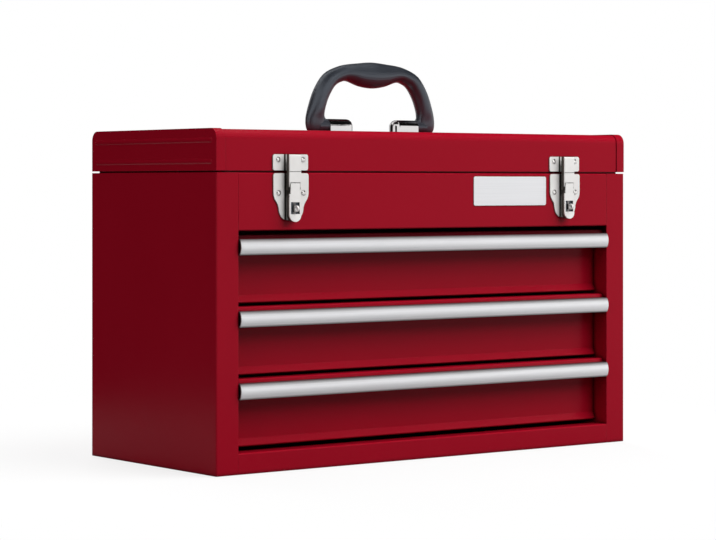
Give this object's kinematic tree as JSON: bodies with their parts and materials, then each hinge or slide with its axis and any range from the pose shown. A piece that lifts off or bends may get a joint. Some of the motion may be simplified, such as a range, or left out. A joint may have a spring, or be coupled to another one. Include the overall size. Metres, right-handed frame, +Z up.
{
  "type": "portable tool box with drawers",
  "caption": "Portable sheet-metal tool box with a hinged lid, a top compartment, shallow sliding drawers, draw latches and a folding carrying handle.",
  "frame": {"origin": "centre of the base, on the surface the box stands on", "axes": "+Z up, +X to the right along the width as seen from the front, -Y towards the front with the drawers and latches"},
  "size_m": [0.512, 0.2366, 0.3902],
  "materials": {
    "red_enamel": "gloss enamel",
    "nickel": "nickel plated",
    "saddle_chrome": "polished",
    "brushed_silver": "brushed",
    "zinc": "zinc plated",
    "charcoal": "fine grain"
  },
  "bodies": {
    "case": {"case_side_left": "red_enamel", "case_side_right": "red_enamel", "case_back": "red_enamel", "case_bottom": "red_enamel", "sill_rail": "red_enamel", "latch_rail": "red_enamel", "compartment_floor": "red_enamel", "rear_post_left": "red_enamel", "rear_post_right": "red_enamel", "runner_1_left": "zinc", "runner_1_right": "zinc", "runner_2_left": "zinc", "runner_2_right": "zinc", "runner_3_left": "zinc", "runner_3_right": "zinc", "latch_plate_left": "nickel", "latch_plate_right": "nickel", "latch_plate_rivets": "nickel", "lever_pin_left": "nickel", "lever_pin_right": "nickel", "label_plate": "brushed_silver", "hinge_leaf_case": "nickel", "hinge_pin": "nickel", "hinge_rivets_case": "nickel"},
    "lid": {"lid_shell": "red_enamel", "lid_cap_left": "red_enamel", "lid_cap_right": "red_enamel", "strike_left": "nickel", "strike_right": "nickel", "strike_rivets": "nickel", "hinge_leaf_lid": "nickel", "hinge_rivets_lid": "nickel", "handle_saddle_left": "saddle_chrome", "handle_saddle_right": "saddle_chrome", "saddle_rivets": "nickel"},
    "handle": {"handle_grip": "charcoal", "handle_pin_left": "nickel", "handle_pin_right": "nickel"},
    "drawer_1": {"drawer_front_1": "red_enamel", "drawer_pan_1": "red_enamel", "drawer_pull_1": "brushed_silver"},
    "drawer_2": {"drawer_front_2": "red_enamel", "drawer_pan_2": "red_enamel", "drawer_pull_2": "brushed_silver"},
    "drawer_3": {"drawer_front_3": "red_enamel", "drawer_pan_3": "red_enamel", "drawer_pull_3": "brushed_silver"},
    "lever_left": {"latch_lever_left": "nickel", "claw_pin_left": "nickel"},
    "claw_left": {"latch_claw_left": "nickel"},
    "lever_right": {"latch_lever_right": "nickel", "claw_pin_right": "nickel"},
    "claw_right": {"latch_claw_right": "nickel"}
  },
  "joints": [
    {"name": "lid_hinge", "type": "hinge", "parent": "case", "child": "lid", "pos_m": [0, 0.1117, 0.279], "axis": [-1, 0, 0], "range_deg": [0, 100]},
    {"name": "handle_swing", "type": "hinge", "parent": "lid", "child": "handle", "pos_m": [0, -0.0095, 0.3254], "axis": [1, 0, 0], "range_deg": [-82, 82]},
    {"name": "drawer_1_slide", "type": "slide", "parent": "case", "child": "drawer_1", "axis": [0, -1, 0], "range_m": [0, 0.13]},
    {"name": "drawer_2_slide", "type": "slide", "parent": "case", "child": "drawer_2", "axis": [0, -1, 0], "range_m": [0, 0.13]},
    {"name": "drawer_3_slide", "type": "slide", "parent": "case", "child": "drawer_3", "axis": [0, -1, 0], "range_m": [0, 0.13]},
    {"name": "lever_left_swing", "type": "hinge", "parent": "case", "child": "lever_left", "pos_m": [-0.1717, -0.114, 0.2758], "axis": [-1, 0, 0], "range_deg": [0, 110]},
    {"name": "claw_left_swing", "type": "hinge", "parent": "lever_left", "child": "claw_left", "pos_m": [-0.1717, -0.114, 0.2634], "axis": [-1, 0, 0], "range_deg": [-110, 0]},
    {"name": "lever_right_swing", "type": "hinge", "parent": "case", "child": "lever_right", "pos_m": [0.1717, -0.114, 0.2758], "axis": [-1, 0, 0], "range_deg": [0, 110]},
    {"name": "claw_right_swing", "type": "hinge", "parent": "lever_right", "child": "claw_right", "pos_m": [0.1717, -0.114, 0.2634], "axis": [-1, 0, 0], "range_deg": [-110, 0]}
  ],
  "couplings": [
    {"joint": "claw_left_swing", "follows": "lever_left_swing", "ratio": -1},
    {"joint": "claw_right_swing", "follows": "lever_right_swing", "ratio": -1}
  ]
}
